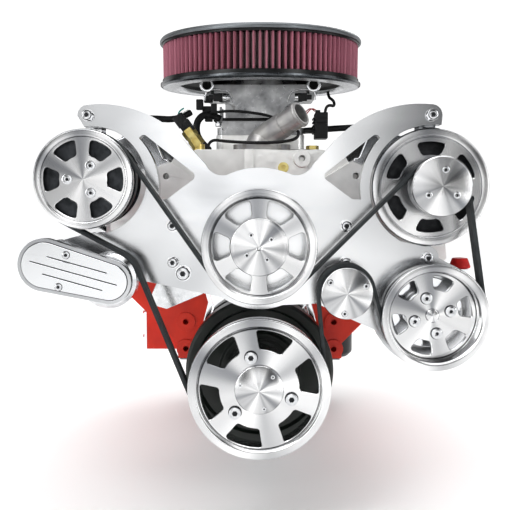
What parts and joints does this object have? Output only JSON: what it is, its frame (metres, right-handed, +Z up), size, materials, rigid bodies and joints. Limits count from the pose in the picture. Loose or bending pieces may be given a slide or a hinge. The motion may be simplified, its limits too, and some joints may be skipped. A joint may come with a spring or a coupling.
{
  "type": "v8 engine",
  "caption": "Dressed V8 engine with a billet front drive: crank, cam and chain inside, belt-driven pump, alternator and compressor, throttle body and round air cleaner",
  "frame": {"origin": "on the crank axis, in the block's rear face between the two bellhousing dowels", "axes": "X to the right as seen from the front, which is the driver side, Y to the rear along the crank, Z up"},
  "size_m": [0.5909, 0.7035, 0.7173],
  "materials": {
    "block_paint": "gloss engine enamel",
    "cast_aluminium": "as cast, fine grained",
    "polished_aluminium": "turned and polished",
    "brushed_aluminium": "brushed billet",
    "chrome": "bright plate",
    "steel": "machined",
    "dark_steel": "satin black",
    "iron": "as cast",
    "rubber": "matt",
    "pleats": "oiled gauze",
    "black_plastic": "moulded",
    "red_plastic": "anodised look",
    "brass": "turned",
    "filter_paint": "gloss white"
  },
  "bodies": {
    "engine": {"engine_block": "block_paint", "main_caps": "iron", "timing_chain": "steel", "timing_cover": "chrome", "oil_pan": "chrome", "head_passenger": "cast_aluminium", "valve_cover_passenger": "polished_aluminium", "head_driver": "cast_aluminium", "valve_cover_driver": "polished_aluminium", "intake_manifold": "cast_aluminium", "throttle_body": "cast_aluminium", "fuel_rails": "polished_aluminium", "air_cleaner_base": "chrome", "filter_seals": "rubber", "filter_pleats": "pleats", "air_cleaner_lid": "chrome", "air_cleaner_nut": "chrome", "thermostat_housing": "cast_aluminium", "spark_plugs": "steel", "oil_filter": "filter_paint", "distributor_base": "polished_aluminium", "distributor_cap": "black_plastic", "fuel_pump_cover": "chrome", "brass_fittings": "brass", "sensor_connector": "black_plastic", "pressure_sensor": "black_plastic", "rubber_hoses": "rubber", "wire_harness": "rubber", "front_bracket": "brushed_aluminium", "bracket_bolts": "chrome", "water_pump": "polished_aluminium", "alternator_case": "chrome", "compressor_body": "polished_aluminium", "steering_pump": "polished_aluminium", "pump_reservoir_cap": "red_plastic", "tensioner_base": "polished_aluminium", "serpentine_belt": "rubber", "bracket_standoffs": "steel"},
    "crank": {"crankshaft": "steel", "crank_sprocket": "steel", "damper": "dark_steel", "crank_pulley": "brushed_aluminium", "crank_pulley_bolts": "chrome", "crank_nose_cap": "polished_aluminium"},
    "cam": {"camshaft": "steel", "cam_sprocket": "steel"},
    "pump_rotor": {"water_pump_pulley": "brushed_aluminium", "water_pump_cap": "polished_aluminium"},
    "alternator_rotor": {"alternator_fan": "polished_aluminium", "alternator_pulley": "brushed_aluminium", "alternator_cap": "polished_aluminium"},
    "compressor_rotor": {"compressor_pulley": "brushed_aluminium", "compressor_face": "brushed_aluminium"},
    "steering_rotor": {"steering_pulley": "brushed_aluminium"},
    "idler": {"idler_pulley": "polished_aluminium"},
    "belt_arm": {"tensioner_arm": "brushed_aluminium"},
    "arm_roller": {"tensioner_pulley": "polished_aluminium"},
    "front_blades": {"throttle_front": "steel"},
    "rear_blades": {"throttle_rear": "steel"}
  },
  "joints": [
    {"name": "crank_spin", "type": "hinge", "parent": "engine", "child": "crank", "pos_m": [0, -0.6, 0], "axis": [0, 1, 0], "continuous": true},
    {"name": "cam_spin", "type": "hinge", "parent": "engine", "child": "cam", "pos_m": [0, -0.6, 0.1148], "axis": [0, 1, 0], "continuous": true},
    {"name": "pump_spin", "type": "hinge", "parent": "engine", "child": "pump_rotor", "pos_m": [0, -0.6, 0.178], "axis": [0, 1, 0], "continuous": true},
    {"name": "alternator_spin", "type": "hinge", "parent": "engine", "child": "alternator_rotor", "pos_m": [0.221, -0.6, 0.252], "axis": [0, 1, 0], "continuous": true},
    {"name": "compressor_spin", "type": "hinge", "parent": "engine", "child": "compressor_rotor", "pos_m": [-0.215, -0.6, 0.2606], "axis": [0, 1, 0], "continuous": true},
    {"name": "steering_spin", "type": "hinge", "parent": "engine", "child": "steering_rotor", "pos_m": [0.2174, -0.6, 0.0908], "axis": [0, 1, 0], "continuous": true},
    {"name": "idler_spin", "type": "hinge", "parent": "engine", "child": "idler", "pos_m": [0.108, -0.6, 0.1209], "axis": [0, 1, 0], "continuous": true},
    {"name": "tensioner_swing", "type": "hinge", "parent": "engine", "child": "belt_arm", "pos_m": [-0.2614, -0.665, 0.1567], "axis": [0, 1, 0], "range_deg": [0, 15], "stiffness_Nm_per_rad": 12, "springref_deg": -34.38},
    {"name": "tensioner_roll", "type": "hinge", "parent": "belt_arm", "child": "arm_roller", "pos_m": [-0.187, -0.6, 0.136], "axis": [0, 1, 0], "continuous": true},
    {"name": "front_throttle", "type": "hinge", "parent": "engine", "child": "front_blades", "pos_m": [0, -0.28328, 0.37371], "axis": [1, 0, 0], "range_deg": [0, 75], "stiffness_Nm_per_rad": 0.3, "springref_deg": -17.19},
    {"name": "rear_throttle", "type": "hinge", "parent": "engine", "child": "rear_blades", "pos_m": [0, -0.23534, 0.37622], "axis": [1, 0, 0], "range_deg": [0, 75]}
  ],
  "couplings": [
    {"joint": "cam_spin", "follows": "crank_spin", "ratio": 0.5},
    {"joint": "pump_spin", "follows": "crank_spin", "ratio": -1.2239},
    {"joint": "alternator_spin", "follows": "crank_spin", "ratio": 2.5625},
    {"joint": "compressor_spin", "follows": "crank_spin", "ratio": 1.4386},
    {"joint": "steering_spin", "follows": "crank_spin", "ratio": 1.3443},
    {"joint": "idler_spin", "follows": "crank_spin", "ratio": -2.5625},
    {"joint": "tensioner_roll", "follows": "crank_spin", "ratio": -2.3429},
    {"joint": "rear_throttle", "follows": "front_throttle", "ratio": 1}
  ]
}
